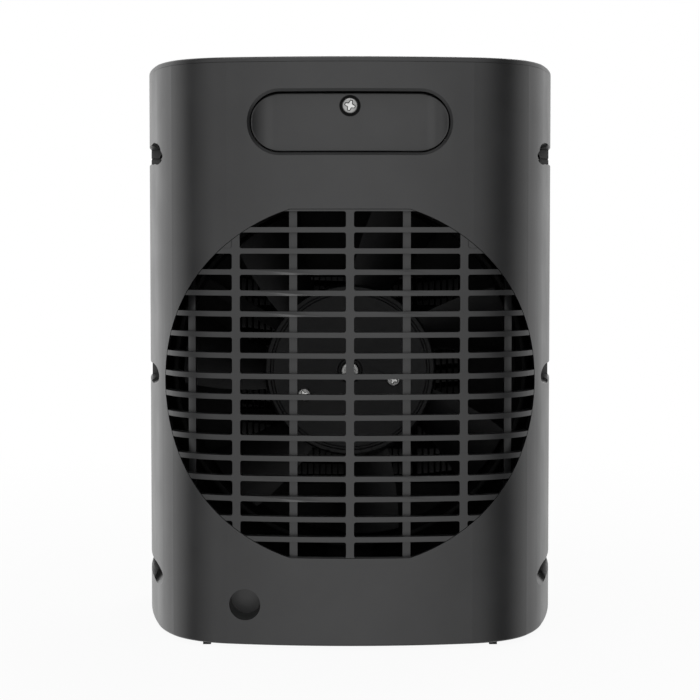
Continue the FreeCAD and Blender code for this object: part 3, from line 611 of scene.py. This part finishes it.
def spring():
    """Coil spring round the plunger's stem."""
    low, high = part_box("plunger_spring")
    middle_x, middle_y = (low.x + high.x) / 2, (low.y + high.y) / 2
    radius = (high.x - low.x) / 2 - SPRING_WIRE_R
    curve = bpy.data.curves.new("plunger_coil", "CURVE")
    curve.dimensions = "3D"
    curve.bevel_depth = SPRING_WIRE_R
    curve.bevel_resolution = 3
    curve.use_fill_caps = True
    curve.materials.append(MATERIALS["steel"])
    line = curve.splines.new("POLY")
    last = SPRING_TURNS * SPRING_STEPS
    line.points.add(last)
    for i, point in enumerate(line.points):
        angle = 2 * math.pi * i / SPRING_STEPS
        z = low.z + SPRING_WIRE_R + (high.z - low.z - 2 * SPRING_WIRE_R) * i / last
        point.co = (middle_x + radius * math.cos(angle), middle_y + radius * math.sin(angle), z, 1)
    coil = bpy.data.objects.new("plunger_coil", curve)
    bpy.context.scene.collection.objects.link(coil)
    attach(coil, HOUSING)
    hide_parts("plunger_spring")


# ---------------------------------------------------------------- controls

def fascia_y(x):
    """Y of the fascia at a distance x from the middle."""
    return FRONT_Y + FRONT_R - math.sqrt(FRONT_R ** 2 - x * x)


def mark(name, outline):
    """Printed mark on the fascia from its outline in X and Z."""
    shape = bmesh.new()
    outer = [shape.verts.new((x, fascia_y(x) - PRINT_THICKNESS, z)) for x, z in outline]
    inner = [shape.verts.new((x, fascia_y(x) + PRINT_ROOT, z)) for x, z in outline]
    shape.faces.new(outer)
    shape.faces.new(inner[::-1])
    count = len(outer)
    for i in range(count):
        shape.faces.new((outer[i], inner[i], inner[(i + 1) % count], outer[(i + 1) % count]))
    piece = mesh_object(name, shape, MATERIALS["print"])
    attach(piece, HOUSING)


def dial_place(knob, clockwise_deg, radius):
    """Point round a knob, seen from the front: clockwise from where its pointer rests."""
    low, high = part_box(knob)
    angle = math.radians(DIAL_START_DEG - clockwise_deg)
    x, z = (low.x + high.x) / 2, (low.z + high.z) / 2
    return x + radius * math.cos(angle), z + radius * math.sin(angle)


def number(text, x, z):
    """Plain printed number on the fascia, read from the front."""
    curve = bpy.data.curves.new("number_" + text, "FONT")
    curve.body = text
    curve.size = NUMBER_SIZE
    curve.align_x = "CENTER"
    curve.align_y = "CENTER"
    curve.extrude = PRINT_THICKNESS
    curve.materials.append(MATERIALS["print"])
    piece = bpy.data.objects.new("number_" + text, curve)
    bpy.context.scene.collection.objects.link(piece)
    slope = math.asin(x / FRONT_R)
    piece.matrix_world = (Matrix.Translation((x, fascia_y(x), z)) @ Matrix.Rotation(slope, 4, "Z")
                          @ Matrix.Rotation(math.radians(90), 4, "X"))
    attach(piece, HOUSING)


def dial_marks():
    """Growing dots round the thermostat knob and numbers round the mode knob."""
    for i in range(DOT_COUNT):
        x, z = dial_place("thermostat_knob", THERMOSTAT_SWEEP_DEG * i / (DOT_COUNT - 1), DIAL_R)
        mark(f"thermostat_dot_{i + 1}", circle_points(x, z, DOT_R + DOT_GROWTH * i, steps=20))
    for i, text in enumerate(("0", "1", "2", "3")):
        x, z = dial_place("mode_knob", MODE_STEP_DEG * i, NUMBER_RING_R)
        number(text, x, z)


def pointer_line(material):
    """Pale line printed on the front of both knobs, from where they are at rest."""
    low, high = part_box("thermostat_knob")
    middle_x, middle_z = abs(low.x + high.x) / 2, (low.z + high.z) / 2
    tree = material.node_tree
    place = tree.nodes.new("ShaderNodeTexCoord")
    axes = tree.nodes.new("ShaderNodeSeparateXYZ")
    tree.links.new(place.outputs["Object"], axes.inputs[0])
    x, y, z = axes.outputs
    either_side = maths(tree, "ABSOLUTE", x, 0.0)
    aside = maths(tree, "ABSOLUTE", maths(tree, "SUBTRACT", either_side, middle_x), 0.0)
    mask = maths(tree, "LESS_THAN", aside, POINTER_HALF_WIDTH)
    for test, socket, limit in (("LESS_THAN", y, low.y + POINTER_DEPTH),
                                ("GREATER_THAN", z, middle_z + POINTER[0]),
                                ("LESS_THAN", z, middle_z + POINTER[1])):
        mask = maths(tree, "MULTIPLY", mask, maths(tree, test, socket, limit))
    colour = tree.nodes["Principled BSDF"].inputs["Base Color"]
    mix = tree.nodes.new("ShaderNodeMix")
    mix.data_type = "RGBA"
    plain, printed = [socket for socket in mix.inputs if socket.type == "RGBA"]
    tree.links.new(mask, mix.inputs["Factor"])
    tree.links.new(colour.links[0].from_socket, plain)
    printed.default_value = (*PRINT_COLOUR, 1)
    tree.links.new([socket for socket in mix.outputs if socket.type == "RGBA"][0], colour)


# ---------------------------------------------------------------- stage

def area_light(name, place, size, power):
    """Soft box aimed at the middle of the object."""
    light = bpy.data.lights.new(name, "AREA")
    light.shape = "RECTANGLE"
    light.size, light.size_y = size
    light.energy = power
    thing = bpy.data.objects.new(name, light)
    bpy.context.scene.collection.objects.link(thing)
    thing.matrix_world = facing(place, Vector(place) - Vector(LIGHT_TARGET))


def world():
    """Studio: white backdrop ahead of the camera, white screen behind it, dim sides, low even fill."""
    setting = bpy.data.worlds.new("studio")
    bpy.context.scene.world = setting
    setting.use_nodes = True
    tree = setting.node_tree
    path = tree.nodes.new("ShaderNodeLightPath").outputs
    place = tree.nodes.new("ShaderNodeTexCoord")
    axes = tree.nodes.new("ShaderNodeSeparateXYZ")
    tree.links.new(place.outputs["Generated"], axes.inputs[0])
    x, y, z = axes.outputs
    flattened = tree.nodes.new("ShaderNodeCombineXYZ")
    for part, value in zip(flattened.inputs, (x, y, maths(tree, "MULTIPLY", z, SCREEN_TALL))):
        tree.links.new(value, part)
    rearward = maths(tree, "DIVIDE", y, vector_length(tree, flattened.outputs["Vector"]))
    backdrop = map_range(tree, rearward, BACKDROP_Y, (ROOM_LEVEL, 1.0), smooth=True)
    brightness = map_range(tree, x, BACKDROP_X, (BACKDROP_DIM, 1.0))
    backdrop = maths(tree, "MULTIPLY", backdrop, brightness)
    screen = map_range(tree, rearward, SCREEN_Y, (ROOM_LEVEL, 1.0), smooth=True)
    below = map_range(tree, z, FLOOR_Z, (0.0, FLOOR_LEVEL), smooth=True)
    room = maths(tree, "MAXIMUM", backdrop, maths(tree, "MAXIMUM", screen, below))
    mirrored = maths(tree, "MULTIPLY", path["Is Glossy Ray"], room)
    seen = maths(tree, "MAXIMUM", path["Is Camera Ray"], path["Is Transmission Ray"])
    fill = maths(tree, "MULTIPLY", path["Is Diffuse Ray"], FILL_LEVEL)
    level = maths(tree, "MAXIMUM", seen, maths(tree, "MAXIMUM", mirrored, fill))
    background = tree.nodes["Background"]
    background.inputs["Color"].default_value = (1, 1, 1, 1)
    tree.links.new(level, background.inputs["Strength"])


def mix_shaders(tree, share, first, second):
    """Shader socket that mixes two by the share of the second."""
    mix = tree.nodes.new("ShaderNodeMixShader")
    for place, socket in zip(mix.inputs, (share, first, second)):
        tree.links.new(socket, place)
    return mix.outputs[0]


def floor():
    """Plain pale floor that keeps a soft shadow, fades into the backdrop and is clear from below."""
    material, tree, shader = new_material("studio_floor")
    shader.inputs["Base Color"].default_value = (FLOOR_GREY, FLOOR_GREY, FLOOR_GREY, 1)
    shader.inputs["Roughness"].default_value = 0.9
    white = tree.nodes.new("ShaderNodeEmission").outputs[0]
    clear = tree.nodes.new("ShaderNodeBsdfTransparent").outputs[0]
    distance = vector_length(tree, tree.nodes.new("ShaderNodeTexCoord").outputs["Object"])
    fade = map_range(tree, distance, FLOOR_FADE, (FLOOR_WHITE, 1.0))
    path = tree.nodes.new("ShaderNodeLightPath").outputs
    seen = maths(tree, "MULTIPLY", path["Is Camera Ray"], fade)
    above = mix_shaders(tree, seen, shader.outputs[0], white)
    from_below = tree.nodes.new("ShaderNodeNewGeometry").outputs["Backfacing"]
    surface = mix_shaders(tree, from_below, above, clear)
    tree.links.new(surface, tree.nodes["Material Output"].inputs["Surface"])
    shape = bmesh.new()
    bmesh.ops.create_grid(shape, x_segments=1, y_segments=1, size=FLOOR_HALF)
    ground = mesh_object("floor", shape, material)
    ground.location.z = -FLOOR_DROP
    ground.visible_glossy = False


def camera():
    """Camera square to the rear face, tilted slightly down."""
    data = bpy.data.cameras.new("camera")
    data.lens = LENS_MM
    thing = bpy.data.objects.new("camera", data)
    bpy.context.scene.collection.objects.link(thing)
    thing.location = (0, REAR_Y + CAMERA_GAP, CAMERA_HEIGHT)
    thing.rotation_euler = (math.radians(90 - CAMERA_TILT_DEG), 0, math.pi)
    bpy.context.scene.camera = thing


def lights():
    """Box behind the camera, side panel, high key, overhead panel and a front box for the outlet."""
    area_light("camera_box", (0, 1.7, 0.25), size=(1.3, 1.7), power=3.0)
    area_light("side_panel", (1.5, 1.0, 0.2), size=(1.2, 1.6), power=3.0)
    area_light("high_key", (0.4, 1.3, 1.9), size=(1.0, 1.0), power=8.0)
    area_light("overhead", (0, 0, 2.4), size=(3.0, 3.0), power=10.0)
    area_light("outlet_key", (-0.4, -1.4, 1.7), size=(1.0, 1.0), power=17.0)


bpy.context.scene.view_settings.view_transform = "Standard"
dress_nodes()
for name, width in SOFT_EDGES.items():
    soften_edges(frame["nodes"][name], width)
grip_plate()
screws("grip_screw", HOUSING, head_r=0.0032, shank_r=0.0015, height=GRIP_HEAD, turns=(-0.29,))
screws("hub_screws", "fan", head_r=0.0028, shank_r=0.0012, height=0.0017, turns=(0.5, 1.2))
screws("housing_screws", HOUSING, head_r=0.0029, shank_r=0.0014, height=0.0017,
       turns=(0.2, 0.7, 1.1, 0.4, 0.9, 1.4))
screws("base_screws", HOUSING, head_r=0.0027, shank_r=0.0013, height=0.0015,
       turns=(0.3, 0.9, 0.6, 1.3), direction=(0, 0, -1))
shaft_cap()
spring()
dial_marks()
pointer_line(MATERIALS["knob"])
camera()
lights()
world()
floor()
